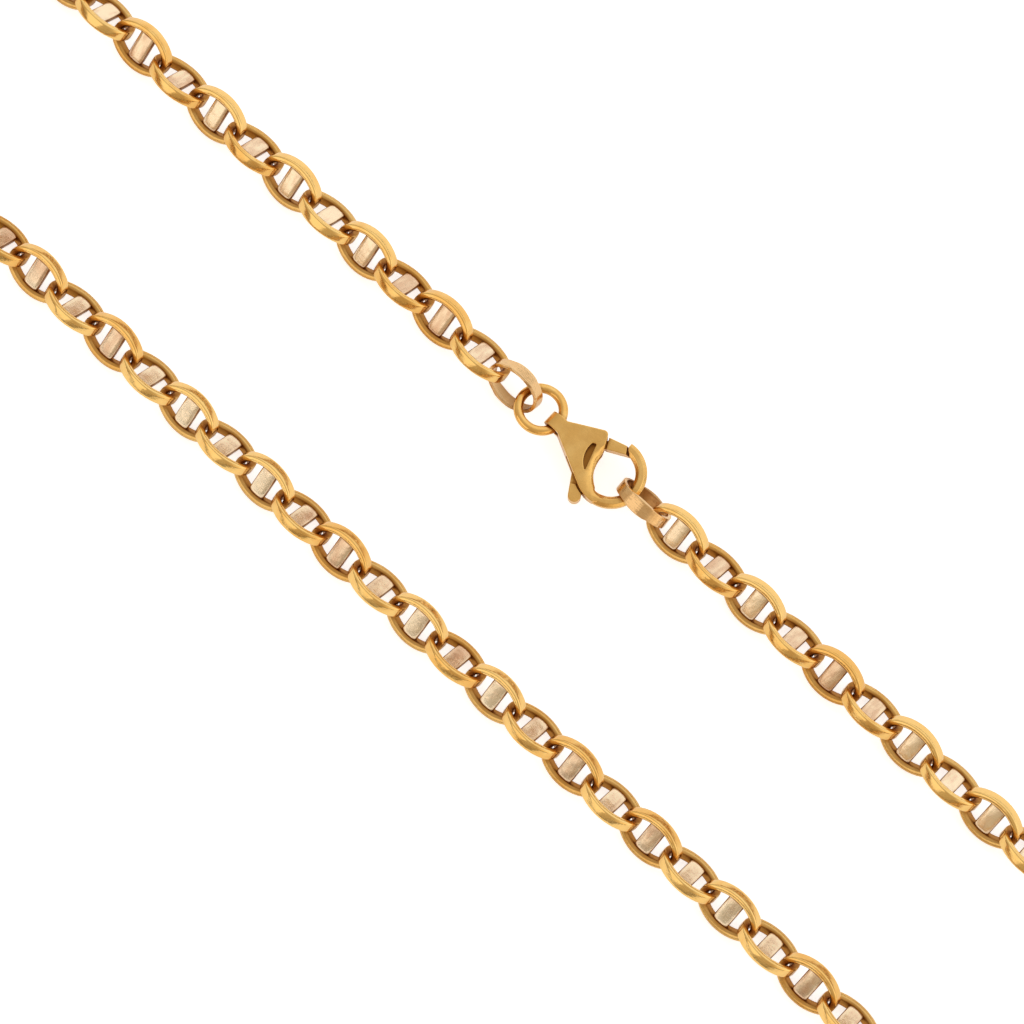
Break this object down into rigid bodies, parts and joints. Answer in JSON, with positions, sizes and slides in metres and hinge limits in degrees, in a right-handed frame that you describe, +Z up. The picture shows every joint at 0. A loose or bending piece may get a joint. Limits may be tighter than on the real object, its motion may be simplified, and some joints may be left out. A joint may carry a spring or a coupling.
{
  "type": "mariner link chain necklace",
  "caption": "Mariner link chain necklace: oval barred links turned alternately, joined into a loop by a lobster clasp and a jump ring.",
  "frame": {"origin": "middle of the laid-out loop's bounding box, on the surface it lies on", "axes": "+X along the strands, towards the end that the clasp's hook points at; +Y across the loop, towards the strand with the clasp; +Z up from the surface"},
  "size_m": [0.215, 0.023, 0.0034],
  "materials": {
    "chain_gold": "polished yellow gold",
    "pale_gold": "satin pale gold",
    "clasp_gold": "satin yellow gold"
  },
  "bodies": {
    "necklace": {"chain_front": "chain_gold", "chain_back": "chain_gold", "left_end_link": "pale_gold", "right_end_link": "pale_gold", "jump_ring": "chain_gold", "clasp_body": "clasp_gold", "pivot_pin": "clasp_gold"},
    "lever": {"clasp_lever": "clasp_gold"}
  },
  "joints": [
    {"name": "lever_hinge", "type": "hinge", "parent": "necklace", "child": "lever", "pos_m": [0.00113, 0.00883, 0.00172], "axis": [0, 0, -1], "range_deg": [0, 25], "stiffness_Nm_per_rad": 0.004}
  ]
}
